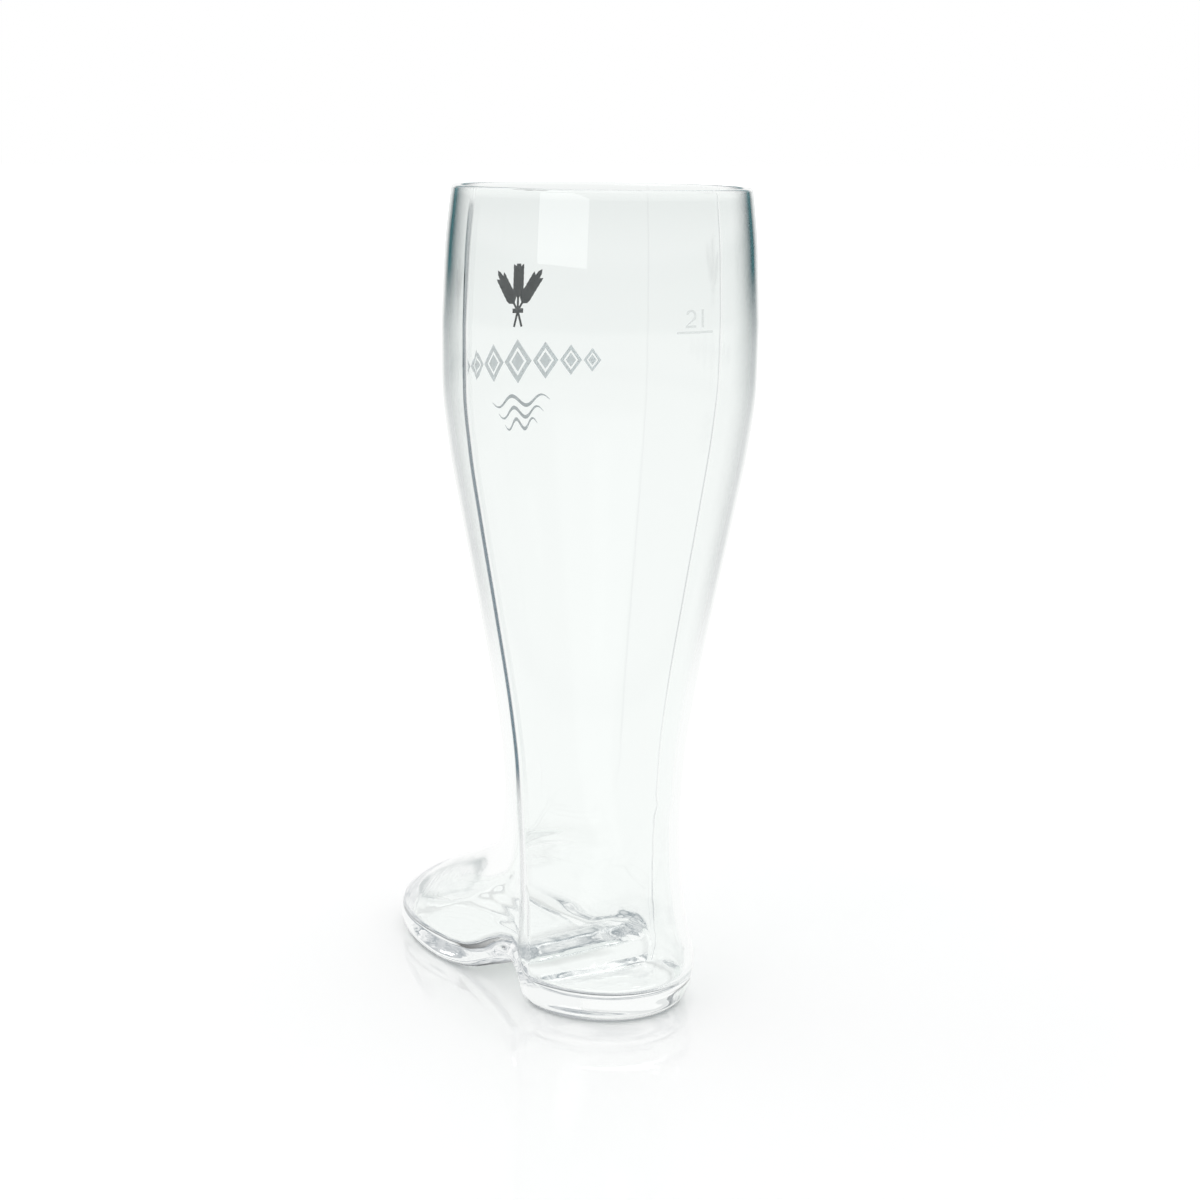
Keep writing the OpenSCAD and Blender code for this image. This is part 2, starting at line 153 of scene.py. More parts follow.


# Soda-lime glass, blown in a mould and fire-polished: clear, wet-looking, a little wavy, with painted shade
# along the seams, at the base's edge and towards the outline of the upper leg, and a painted glow where light is
# caught in the wall
def blownGlassMaterial():
    material, tree = newMaterial("blown_soda_lime_glass")
    place = addNode(tree, "ShaderNodeTexCoord")
    # Painted shade along the seams, read from the mesh
    thick = addNode(tree, "ShaderNodeAttribute", {"attribute_name": "thick"})
    skin = addNode(tree, "ShaderNodeAttribute", {"attribute_name": "outside"})
    # Painted shade: the outside skin darkens towards the outline of the upper leg, and more so higher up
    facing = addNode(tree, "ShaderNodeLayerWeight", {"Blend": 0.5})
    grazing = addNode(tree, "ShaderNodeMapRange",
                      {"interpolation_type": "SMOOTHSTEP", "From Min": blownGlass["edgeStart"],
                       "From Max": blownGlass["edgeEnd"]}, {"Value": facing.outputs["Facing"]})
    outermost = addNode(tree, "ShaderNodeMapRange",
                        {"From Min": blownGlass["edgeOuter"][0], "From Max": blownGlass["edgeOuter"][1],
                         "To Min": 1.0, "To Max": 0.0}, {"Value": facing.outputs["Facing"]})
    parts = addNode(tree, "ShaderNodeSeparateXYZ", {}, {0: place.outputs["Object"]})
    rise = addNode(tree, "ShaderNodeMapRange",
                   {"interpolation_type": "SMOOTHSTEP", "From Min": blownGlass["edgeRise"][0],
                    "From Max": blownGlass["edgeRise"][1]}, {"Value": parts.outputs[2]})
    top = addNode(tree, "ShaderNodeMapRange",
                  {"interpolation_type": "SMOOTHSTEP", "From Min": blownGlass["edgeTop"][0],
                   "From Max": blownGlass["edgeTop"][1], "To Min": blownGlass["edgeFaint"]},
                  {"Value": parts.outputs[2]})
    band = addNode(tree, "ShaderNodeMath", {"operation": "MULTIPLY"},
                   {0: grazing.outputs[0], 1: outermost.outputs[0]})
    onSkin = addNode(tree, "ShaderNodeMath", {"operation": "MULTIPLY"},
                     {0: band.outputs[0], 1: skin.outputs["Fac"]})
    upward = addNode(tree, "ShaderNodeMath", {"operation": "MULTIPLY"}, {0: rise.outputs[0], 1: top.outputs[0]})
    edge = addNode(tree, "ShaderNodeMath", {"operation": "MULTIPLY"},
                   {0: onSkin.outputs[0], 1: upward.outputs[0]})
    body = addNode(tree, "ShaderNodeMix", {"data_type": "RGBA", 6: linear(blownGlass["tint"]),
                                           7: linear(blownGlass["paintedEdgeShade"])}, {0: edge.outputs[0]})
    # Painted shade on the base's rounded edge, fainter in deeper refractions; with the seams' painted shade it
    # tints the glass slate
    rim = addNode(tree, "ShaderNodeAttribute", {"attribute_name": "rim"})
    light = addNode(tree, "ShaderNodeLightPath")
    deeper = addNode(tree, "ShaderNodeMath", {"operation": "GREATER_THAN", 1: blownGlass["firstLook"]},
                     {0: light.outputs["Transmission Depth"]})
    rimLevel = addNode(tree, "ShaderNodeMapRange", {"To Min": 1.0, "To Max": blownGlass["rimBeyond"]},
                       {"Value": deeper.outputs[0]})
    rimTint = addNode(tree, "ShaderNodeMath", {"operation": "MULTIPLY"},
                      {0: rim.outputs["Fac"], 1: rimLevel.outputs[0]})
    paintedShadeShare = addNode(tree, "ShaderNodeMath", {"operation": "MAXIMUM"},
                    {0: thick.outputs["Fac"], 1: rimTint.outputs[0]})
    tint = addNode(tree, "ShaderNodeMix", {"data_type": "RGBA", 7: linear(blownGlass["thickTint"])},
                   {0: paintedShadeShare.outputs[0], 6: body.outputs[2]})
    waves = addNode(tree, "ShaderNodeTexNoise", {"Scale": 1000 / blownGlass["waveSize"], "Detail": 1.0},
                    {"Vector": place.outputs["Object"]})
    ripples = addNode(tree, "ShaderNodeTexNoise", {"Scale": 1000 / blownGlass["rippleSize"], "Detail": 2.0},
                      {"Vector": place.outputs["Object"]})
    inBase = addNode(tree, "ShaderNodeMapRange",
                     {"interpolation_type": "SMOOTHSTEP", "From Min": blownGlass["rippleEnd"][0],
                      "From Max": blownGlass["rippleEnd"][1],
                      "To Min": blownGlass["rippleDepth"] / blownGlass["waveDepth"], "To Max": 0.0},
                     {"Value": parts.outputs[2]})
    height = addNode(tree, "ShaderNodeMath", {"operation": "MULTIPLY_ADD"},
                     {0: ripples.outputs["Fac"], 1: inBase.outputs[0], 2: waves.outputs["Fac"]})
    bump = addNode(tree, "ShaderNodeBump", {"Strength": 1.0, "Distance": blownGlass["waveDepth"]},
                   {"Height": height.outputs[0]})
    glass = addNode(tree, "ShaderNodeBsdfPrincipled",
                    {"Transmission Weight": 1.0, "Roughness": 0.0, "IOR": blownGlass["ior"]},
                    {"Base Color": tint.outputs[2], "Normal": bump.outputs["Normal"]})
    clear = addNode(tree, "ShaderNodeBsdfTransparent", {"Color": linear(blownGlass["shadow"])})
    mixed = addNode(tree, "ShaderNodeMixShader", {}, {0: light.outputs["Is Shadow Ray"], 1: glass.outputs[0],
                                                      2: clear.outputs[0]})
    # Light that total reflection keeps inside the wall leaves it somewhere: it ends here in a painted glow at
    # the studio's level, with streaks of painted shade low in the base
    trapped = addNode(tree, "ShaderNodeMath", {"operation": "GREATER_THAN", 1: blownGlass["trappedTurns"]},
                      {0: light.outputs["Glossy Depth"]})
    streaks = addNode(tree, "ShaderNodeTexNoise", {"Scale": 1000 / blownGlass["streakSize"], "Detail": 3.0,
                                                   "Distortion": blownGlass["streakSwirl"]},
                      {"Vector": place.outputs["Object"]})
    leaving = addNode(tree, "ShaderNodeMapRange",
                      {"From Min": blownGlass["streakEdges"][0], "From Max": blownGlass["streakEdges"][1],
                       "To Min": blownGlass["trappedLevel"][0], "To Max": blownGlass["trappedLevel"][1]},
                      {"Value": streaks.outputs["Fac"]})
    higher = addNode(tree, "ShaderNodeMapRange", {"From Min": blownGlass["trappedTop"][0],
                                                  "From Max": blownGlass["trappedTop"][1]},
                     {"Value": parts.outputs[2]})
    streaked = addNode(tree, "ShaderNodeMath", {"operation": "MAXIMUM"},
                       {0: leaving.outputs[0], 1: higher.outputs[0]})
    paintedGlowColour = addNode(tree, "ShaderNodeMix", {"data_type": "RGBA", 6: linear(blownGlass["paintedStreakShade"]),
                                                  7: (1, 1, 1, 1)}, {0: streaked.outputs[0]})
    glow = addNode(tree, "ShaderNodeEmission", {"Strength": 1.0}, {"Color": paintedGlowColour.outputs[2]})
    ended = addNode(tree, "ShaderNodeMixShader", {}, {0: trapped.outputs[0], 1: mixed.outputs[0],
                                                      2: glow.outputs[0]})
    addNode(tree, "ShaderNodeOutputMaterial", {}, {"Surface": ended.outputs[0]})
    return material


# clear: the share of the light that comes through the print
enamels = {
    "dark_enamel": {"name": "black_green_enamel", "colour": "#161c1e", "speck": "#2a3234", "roughness": 0.42,
                    "clear": 0.0},
    "silver_enamel": {"name": "silver_grey_enamel", "colour": "#dbe3e8", "speck": "#b9c4ca", "roughness": 0.33,
                      "clear": 0.55},
    "grey_enamel": {"name": "light_grey_enamel", "colour": "#c8d0d5", "speck": "#a8b3ba", "roughness": 0.4,
                    "clear": 0.38},
    "fill_enamel": {"name": "fill_mark_enamel", "colour": "#b9c3c4", "speck": "#a5afb0", "roughness": 0.5,
                    "clear": 0.86},
}
grain = {"size": 0.35, "depth": 0.00003, "strength": 0.4}    # mm and metres, drawn coarse enough to show


# Glass enamel, screen-printed and fired on: satin, with a fine grain, and more or less dense, so that some
# light comes through the paler ones
def enamelMaterial(facts):
    material, tree = newMaterial(facts["name"])
    place = addNode(tree, "ShaderNodeTexCoord")
    specks = addNode(tree, "ShaderNodeTexNoise", {"Scale": 1000 / grain["size"], "Detail": 3.0},
                     {"Vector": place.outputs["Object"]})
    colour = addNode(tree, "ShaderNodeMix", {"data_type": "RGBA", 6: linear(facts["colour"]),
                                             7: linear(facts["speck"])}, {0: specks.outputs["Fac"]})
    bump = addNode(tree, "ShaderNodeBump", {"Strength": grain["strength"], "Distance": grain["depth"]},
                   {"Height": specks.outputs["Fac"]})
    enamel = addNode(tree, "ShaderNodeBsdfPrincipled",
                     {"Roughness": facts["roughness"], "Specular IOR Level": 0.25},
                     {"Base Color": colour.outputs[2], "Normal": bump.outputs["Normal"]})
    clear = addNode(tree, "ShaderNodeBsdfTransparent", {"Color": (1, 1, 1, 1)})
    thin = addNode(tree, "ShaderNodeMixShader", {0: facts["clear"]},
                   {1: enamel.outputs[0], 2: clear.outputs[0]})
    addNode(tree, "ShaderNodeOutputMaterial", {}, {"Surface": thin.outputs[0]})
    return material


glassMaterial = blownGlassMaterial()
enamelMaterials = {slot: enamelMaterial(facts) for slot, facts in enamels.items()}
print("materials made")


# Smooth curves through tables of shares, without overshooting
def curveThrough(table):
    rows = np.array(table, float)
    stations, values = rows[:, 0], rows[:, 1:]
    gaps = np.diff(stations)[:, None]
    slopes = np.diff(values, axis=0) / gaps
    tangents = np.vstack([slopes[:1], np.zeros_like(slopes[1:]), slopes[-1:]])
    for i in range(1, len(slopes)):
        before, after = slopes[i - 1], slopes[i]
        same = before * after > 0
        near, far = gaps[i - 1, 0], gaps[i, 0]
        safeBefore, safeAfter = np.where(same, before, 1), np.where(same, after, 1)
        mean = 3 * (near + far) / ((2 * far + near) / safeBefore + (far + 2 * near) / safeAfter)
        tangents[i] = np.where(same, mean, 0)

    def at(place):
        place = np.clip(np.asarray(place, float), stations[0], stations[-1])
        k = np.clip(np.searchsorted(stations, place, side="right") - 1, 0, len(gaps) - 1)
        t = ((place - stations[k]) / gaps[k, 0])[..., None]
        return (values[k] * (2 * t ** 3 - 3 * t ** 2 + 1) + values[k + 1] * (3 * t ** 2 - 2 * t ** 3)
                + gaps[k] * (tangents[k] * (t ** 3 - 2 * t ** 2 + t) + tangents[k + 1] * (t ** 3 - t ** 2)))

    return at


def ease(u):
    u = np.clip(u, 0, 1)
    return u * u * (3 - 2 * u)


shaftSwell = curveThrough([[0.244, 0], [0.305, 0.046], [0.371, 0.151], [0.499, 0.439], [0.61, 0.705],
                           [0.695, 0.892], [0.769, 0.99], [0.841, 1]])
mouthSwell = curveThrough([[0.841, 1], [0.928, 0.65], [1, 0]])
calfShare = 0.841

# Level, back, heel centre, heel half width, toe centre, tip, ball half width
footRow = curveThrough([
    [0.00, 0.58, 0.147, 0.930, 0.485, 0.930, 1.043], [0.07, 0.82, 0.147, 0.970, 0.505, 1.000, 1.039],
    [0.14, 1.00, 0.147, 1.005, 0.515, 0.980, 1.022], [0.20, 0.95, 0.147, 1.024, 0.511, 0.916, 0.998],
    [0.25, 0.82, 0.147, 1.012, 0.491, 0.849, 0.973], [0.31, 0.66, 0.130, 0.990, 0.437, 0.751, 0.947],
    [0.37, 0.52, 0.110, 0.973, 0.359, 0.631, 0.923], [0.44, 0.38, 0.090, 0.961, 0.269, 0.481, 0.889],
    [0.51, 0.25, 0.075, 0.954, 0.186, 0.343, 0.874], [0.58, 0.13, 0.055, 0.954, 0.118, 0.215, 0.879],
    [0.66, 0.04, 0.040, 0.957, 0.069, 0.116, 0.903], [0.75, -0.02, 0.020, 0.966, 0.035, 0.060, 0.937],
    [0.84, -0.04, 0.010, 0.976, 0.016, 0.026, 0.966], [0.92, -0.03, 0.005, 0.988, 0.007, 0.009, 0.986],
    [1.00, 0.00, 0.000, 1.000, 0.000, 0.000, 1.000]])
# Distance from the axis as a share of the toe's reach, height as a share of the arch
archRow = curveThrough([[-0.40, 0], [0.010, 0], [0.013, 0.15], [0.019, 0.55], [0.034, 0.85], [0.050, 0.98],
                        [0.067, 1], [0.085, 0.95], [0.133, 0.78], [0.193, 0.57], [0.25, 0.37], [0.30, 0.21],
                        [0.35, 0.1], [0.41, 0.035], [0.47, 0], [0.80, 0], [0.875, 0.04], [0.942, 0.14],
                        [1, 0.3]])
# The same distance, the floor's rise over the heel and over the arch
floorRow = curveThrough([[-0.40, 1, 0], [-0.067, 1, 0], [-0.013, 0.9, 0.13], [0.034, 0.6, 0.72],
                         [0.081, 0.2, 1], [0.135, 0, 0.95], [0.202, 0, 0.72], [0.283, 0, 0.36],
                         [0.363, 0, 0.1], [0.471, 0, 0], [1, 0, 0]])
wallAt = curveThrough([[boot["ankleHeight"], boot["ankleWall"]], [boot["height"] / 2, boot["shaftWall"]],
                       [boot["height"], boot["lipWall"]]])
hump = boot["archHeight"] + boot["archCover"] - boot["soleThickness"]
archFade = 2.1 * boot["archHeight"]
humpFade = 2.5 * hump
waistFade = 0.6 * boot["ankleHeight"]
innerRounding = 2.4 * boot["rounding"]


def shaftRadius(z):
    share = np.asarray(z, float) / boot["height"]
    swell = boot["ankle"] / 2 + (boot["calf"] - boot["ankle"]) / 2 * shaftSwell(share)[..., 0]
    mouth = boot["mouth"] / 2 + (boot["calf"] - boot["mouth"]) / 2 * mouthSwell(share)[..., 0]
    return np.where(share <= calfShare, swell, mouth)


ankleRadius = float(shaftRadius(boot["ankleHeight"]))


def archRise(x, z):
    return boot["archHeight"] * archRow(x / boot["toeReach"])[..., 0] * (1 - ease(z / archFade))


def floorRise(x, z):
    row = floorRow(x / boot["toeReach"])
    return ((boot["heelExtra"] * row[..., 0] + hump * row[..., 1])
            * (1 - ease((z - boot["soleThickness"]) / humpFade)))


# Back, heel centre, heel half width, toe centre, tip and ball half width of the outline at a level
def outline(z, inset):
    if z >= boot["ankleHeight"]:
        r = float(shaftRadius(z)) - inset
        return -r, 0.0, r, 0.0, r, r
    row = footRow(z / boot["ankleHeight"])
    return (-ankleRadius - (boot["heelReach"] - ankleRadius) * row[0] + inset, -boot["heelReach"] * row[1],
            ankleRadius * row[2] - inset, boot["toeReach"] * row[3],
            ankleRadius + (boot["toeReach"] - ankleRadius) * row[4] - inset, ankleRadius * row[5] - inset)


def halfWidth(x, z, size):
    back, heelCentre, heelHalf, toeCentre, tip, ballHalf = size
    heel = heelHalf * np.sqrt(np.clip(1 - ((heelCentre - x) / (heelCentre - back)) ** 2, 0, 1))
    toe = ballHalf * np.sqrt(np.clip(1 - ((x - toeCentre) / (tip - toeCentre)) ** 2, 0, 1))
    u = np.clip((x - heelCentre) / max(toeCentre - heelCentre, 1e-6), 0, 1)
    waist = boot["waistInset"] * np.clip(1 - z / waistFade, 0, 1) * np.sin(np.pi * u ** 0.6) ** 2
    middle = heelHalf + (ballHalf - heelHalf) * ease(u) - waist
    return np.where(x <= heelCentre, heel, np.where(x >= toeCentre, toe, middle))


# Glass body: one closed skin, outside from the lip down to the base and inside back to the floor of the hollow
glassBody = {
    "skinGap": 0.02,         # mm that the enamel sinks into the glass
    "hollowSquash": 0.6,     # height of the hollow's rounded lower edge as a share of its width
    "wallLean": 0.95,        # how far up the outside an inner ring takes its outline, in walls
    "wallFade": 0.2,         # share of the ankle's height in which the wall thickens towards the foot
    "seamRelief": 0.22,      # mm that the seams stand proud
    "seamTop": 338.0, "seamLow": 20.0,       # heights of their ends
    "seamFades": (6.0, 8.0),                 # mm over which they fade there
    "seamTaper": 1.5, "seamSpread": 1.8,     # how steeply the ridge rises, and how far its painted shade fills it
    "rimShare": 0.9,         # how much painted shade the base's rounded edge takes
    "rimTurns": (42, 58, 86, 102),           # degrees round it: begins, is full between the middle two, ends
    "shaftStep": 3.0, "footStep": 1.2,       # mm between rings of points
    "edgeStep": 9, "lipStep": 15,            # degrees between them round the rounded edges and the lip
    "acrossBase": 28,        # strips across the floor of the hollow and across the base
}

# Height, half width in mm and share of the painted shade, for the bolder left seam and the finer right one
leftSeam = curveThrough([[20, 2.6, 0.34], [60, 2.8, 0.34], [86, 2.4, 0.40], [103, 1.9, 1.00],
                         [150, 1.9, 0.99], [230, 1.8, 0.96], [262, 1.6, 0.90], [290, 1.6, 0.85],
                         [305, 2.0, 0.75], [338, 2.6, 0.65]])
rightSeam = curveThrough([[20, 0.7, 0.25], [60, 0.7, 0.25], [103, 0.7, 0.30], [150, 0.9, 0.60],
                          [230, 0.9, 0.60], [262, 0.8, 0.45], [338, 0.8, 0.40]])

# Degrees round from the heel at which the columns of points stand: close together at the seam and in front of
# it, where the arch begins
columnSpans = [(0, 84, 1.2), (84.2, 88.7, 0.35), (88.8, 90, 0.1), (90, 91.2, 0.1), (91.4, 97, 0.25),
               (97.2, 108, 0.6), (108.4, 180, 1.2)]
turns = np.radians(np.concatenate([np.arange(*span) for span in columnSpans] + [[180.0]]))
halfCount = len(turns)


# One side of a level outline, from the back of the heel to the toe
def sideOf(z, inset, shapeZ, inside):
    size = outline(shapeZ, inset)
    x = -np.cos(turns) * np.where(turns <= math.pi / 2, -size[0], size[4])
    y = halfWidth(x, shapeZ, size)
    lift = floorRise(x, z) if inside else archRise(x, z)
    if not inside:
        # The arch is cut up into the foot, so its sides are as wide as the foot at that height
        for i in np.nonzero((lift > 0) & (x > size[1]) & (x < size[3]))[0]:
            level = shapeZ + lift[i]
            y[i] = halfWidth(x[i], level, outline(level, inset))
    y[0] = y[-1] = 0
    return np.column_stack([x, y, z + lift])


# The mould's halves met at both sides, which left a low ridge. This gives the side with its ridge, and the
# painted shade that darkens it.
def withSeam(side, z, seam):
    half, share = seam(z)
    topFade, lowFade = glassBody["seamFades"]
    fade = ease((glassBody["seamTop"] - z) / topFade) * ease((z - glassBody["seamLow"]) / lowFade)
    profile = np.clip(1 - (side[:, 0] / half) ** 2, 0, 1) ** glassBody["seamTaper"] * fade
    raised = side.copy()
    raised[:, 1] += profile * glassBody["seamRelief"]
    return raised, np.clip(glassBody["seamSpread"] * profile, 0, 1) * share


def glassRings():
    rings, thicks, rims, skins = [], [], [], []

    def add(z, inset, shapeZ, inside, rim=0.0):
        left = right = sideOf(z, inset, shapeZ, inside)
        leftSeamShade = rightSeamShade = np.zeros(halfCount)
        if not inside:
            left, leftSeamShade = withSeam(left, z, leftSeam)
            right, rightSeamShade = withSeam(right, z, rightSeam)
        rings.append(np.vstack([left, right[-2:0:-1] * [1, -1, 1]]))
        thicks.append(np.concatenate([leftSeamShade, rightSeamShade[-2:0:-1]]))
        rims.append(np.full(2 * halfCount - 2, rim))
        skins.append(np.full(2 * halfCount - 2, 0.0 if inside else 1.0))

    ankle = boot["ankleHeight"]
    lipCentre = boot["height"] - boot["lipWall"] / 2
    shaftLevels = np.linspace(ankle, lipCentre, int((lipCentre - ankle) / glassBody["shaftStep"]))

    # Inside, from the edge of the floor up to the lip
    lean = glassBody["wallLean"] * boot["footWall"]
    rounded = glassBody["hollowSquash"] * innerRounding
    for a in np.radians(np.arange(90, -1, -glassBody["edgeStep"])):
        z = boot["soleThickness"] + rounded * (1 - math.sin(a))
        add(z, boot["footWall"] + innerRounding * (1 - math.cos(a)), min(ankle, z + lean), True)
    for z in np.arange(boot["soleThickness"] + rounded + glassBody["footStep"], ankle, glassBody["footStep"]):
        lower = ease((ankle - z) / (glassBody["wallFade"] * ankle))
        add(z, boot["ankleWall"] + (boot["footWall"] - boot["ankleWall"]) * lower, min(ankle, z + lean), True)
    for z in shaftLevels[:-1]:
        add(z, float(wallAt(z)[0]), z, True)
    # Over the fire-polished lip
    for a in np.radians(np.arange(180, -1, -glassBody["lipStep"])):
        inset = boot["lipWall"] / 2 * (1 - math.cos(a))
        add(lipCentre + boot["lipWall"] / 2 * math.sin(a), inset, lipCentre, False)
    # Outside, down to the base and round its edge
    for z in shaftLevels[-2::-1]:
        add(z, -glassBody["skinGap"], z, False)
    for z in np.arange(ankle - glassBody["footStep"], boot["rounding"], -glassBody["footStep"]):
        add(z, 0, z, False)
    rise, full, fall, end = glassBody["rimTurns"]
    for a in np.arange(0, 91, glassBody["edgeStep"]):
        z = boot["rounding"] * (1 - math.sin(math.radians(a)))
        # Painted shade round the base's rounded edge, for a dark line along its foot
        rim = glassBody["rimShare"] * float(ease((a - rise) / (full - rise)) * ease((end - a) / (end - fall)))
        add(z, boot["rounding"] * (1 - math.cos(math.radians(a))), z, False, rim)
    return rings, thicks, rims, skins


# A cap is drawn across between the two sides of its ring
def capPoints(ring):
    left, right = ring[1:halfCount - 1], ring[:halfCount - 1:-1]
    shares = np.linspace(0, 1, glassBody["acrossBase"] + 1)[1:-1]
    points = left[:, None, :] * (1 - shares[None, :, None]) + right[:, None, :] * shares[None, :, None]
    return points.reshape(-1, 3)


def capFaces(ringFirst, count, capFirst, up):
    rows, across = halfCount - 2, glassBody["acrossBase"] - 1
    index = np.empty((rows, across + 2), int)
    index[:, 0] = ringFirst + 1 + np.arange(rows)
    index[:, -1] = ringFirst + count - 1 - np.arange(rows)
    index[:, 1:-1] = capFirst + np.arange(rows * across).reshape(rows, across)
    quads = np.stack([index[:-1, :-1], index[:-1, 1:], index[1:, 1:], index[1:, :-1]], -1)
    ends = []
    for j in range(across + 1):
        ends.append([ringFirst, index[0, j + 1], index[0, j]])
        ends.append([ringFirst + halfCount - 1, index[-1, j], index[-1, j + 1]])
    faces = quads.reshape(-1, 4).tolist() + ends
    return faces if up else [f[::-1] for f in faces]


def buildGlassBody():
    rings, thicks, rims, skins = glassRings()
    count = len(rings[0])
    level = np.arange(len(rings) - 1)[:, None] * count
    here = np.arange(count)[None, :]
    after = (here + 1) % count
    walls = np.stack([level + here, level + count + here, level + count + after, level + after], -1)
    faces = walls.reshape(-1, 4).tolist()
    points = np.vstack(rings)
    floorCap = capPoints(rings[0])
    floorFirst = len(points)
    baseFirst = floorFirst + len(floorCap)
    points = np.vstack([points, floorCap, capPoints(rings[-1])])
    faces += capFaces(0, count, floorFirst, False)
    faces += capFaces((len(rings) - 1) * count, count, baseFirst, True)
    points[:, 0] += axisX
    mesh = bpy.data.meshes.new("glass_body")
    mesh.from_pydata((points * toMetres).tolist(), [], faces)
    mesh.validate()
    # The painted shade of the seams and of the base's edge, and which skin is outside
    for name, rows, base in (("thick", thicks, 0.0), ("rim", rims, 0.0), ("outside", skins, 1.0)):
        values = np.zeros(len(points))
        values[:floorFirst] = np.concatenate(rows)
        values[baseFirst:] = base
        mesh.attributes.new(name, "FLOAT", "POINT").data.foreach_set("value", values.astype(np.float32))
    form = bmesh.new()
    form.from_mesh(mesh)
    bmesh.ops.recalc_face_normals(form, faces=form.faces)
    openEdges = sum(1 for e in form.edges if not e.is_manifold)
    form.to_mesh(mesh)
    volume = form.calc_volume()
    form.free()
    mesh.shade_smooth()
    mesh.materials.append(glassMaterial)
    body = bpy.data.objects.new("glass_body", mesh)
    bpy.context.scene.collection.objects.link(body)
    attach(body, "root")
    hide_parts("lip", "calf", "shin", "foot", "heel", "sole", "left_seam", "right_seam")
    print(f"glass body: {len(points)} points, {len(faces)} faces, {openEdges} open edges,"
          f" {volume * 1e6:.0f} cm3")


buildGlassBody()

# Prints keep the part's own solids
printSlots = {"print_sprig": "dark_enamel", "print_lozenges": "silver_enamel", "print_wave": "grey_enamel",
              "fill_line": "fill_enamel", "fill_numeral": "fill_enamel"}
for node, slot in printSlots.items():
    piece = frame["nodes"][node]
    piece.data.materials.clear()
    piece.data.materials.append(enamelMaterials[slot])
print("prints finished:", ", ".join(printSlots))

# Studio: white paper and soft light all round. The glass mirrors two duller stretches of the room, left and
# right of the bright backdrop behind the boot, at its edges. The camera itself sees plain white everywhere.
# Distances are in metres from the boot.
studio = {
    "floorSize": 30.0,
    "floorColour": "#e9e9e9", "floorRoughness": 0.02, "floorGloss": 0.6,
    "ahead": (0.8227, -0.5685, 0.0),         # level direction from the camera's side through the boot
    "aside": (0.5685, 0.8227, 0.0),
    "backdropLevel": 0.80, "dullLevel": 0.08, "fillLevel": 0.50, "overheadLevel": 0.95,     # 1 is white
    "backdropEdge": (17.0, 29.0),            # degrees round from straight ahead at which the backdrop ends
    "fillEdge": (57.0, 84.0),                # and at which the fill behind the camera begins
    "overheadEdge": (1.0, 5.0),              # degrees above the horizon
    "shade": "#00464a",                      # what the dull stretches keep of the room's colour
    "dullAway": (0.20, 3.5),                 # distances over which the table takes on the dull level
    "fillAway": (2.6, 9.0),                  # the fill's
    "backdropAway": (0.3, 12.0),             # and the backdrop's
    "worldAway": 100.0,                      # how far off the surroundings count as
    "panelGain": 1.02,                       # a slightly brighter strip of the table, straight ahead
    "panelEdge": (2.1, 2.6),                 # degrees from straight ahead at which it ends
    "panelEnd": (1.90, 2.05),                # and how far off
    "floorDrop": 0.0001,                     # how far the table lies below the base, not to coincide with it
    "contactReach": 0.009,                   # how far the contact shadow reaches
    "contactLeast": 0.07,                    # its darkest level
    "contactOpen": 0.8,                      # share of open surroundings from which there is none
    "contactBeyond": 0.25,                   # how much of it shows deeper in the glass
    "standReach": 0.0006,                    # gap up to which the base counts as standing on the table
    "cameraGlow": 0.115,                     # the paper's own light for the camera, so that it comes out white
    "glowNear": (0.20, 0.9),                 # distances over which that light grows to full white
    "lampAim": (0, 0, 0.15),
    # through: whether the lamp is seen through the glass too, and not only mirrored in it
    "lamps": [
        {"name": "key_softbox", "at": (-0.2, 1.3, 1.4), "size": (0.9, 0.9), "watts": 5.0, "through": True},
        {"name": "fill_softbox", "at": (1.0, -0.9, 1.2), "size": (0.7, 0.7), "watts": 2.5, "through": True},
        {"name": "window_softbox", "at": (-0.80, 1.48, 0.54), "size": (1.10, 0.30), "watts": 1.9,
         "through": False},
    ],
}


# How far round from straight ahead a direction or place lies: 0 ahead, pi behind the camera
def addTurn(tree, source):
    ahead, aside = (addNode(tree, "ShaderNodeVectorMath", {"operation": "DOT_PRODUCT", 1: studio[k]},
                            {0: source}) for k in ("ahead", "aside"))
    offset = addNode(tree, "ShaderNodeMath", {"operation": "ABSOLUTE"}, {0: aside.outputs["Value"]})
    return addNode(tree, "ShaderNodeMath", {"operation": "ARCTAN2"},
                   {0: offset.outputs[0], 1: ahead.outputs["Value"]}).outputs[0]


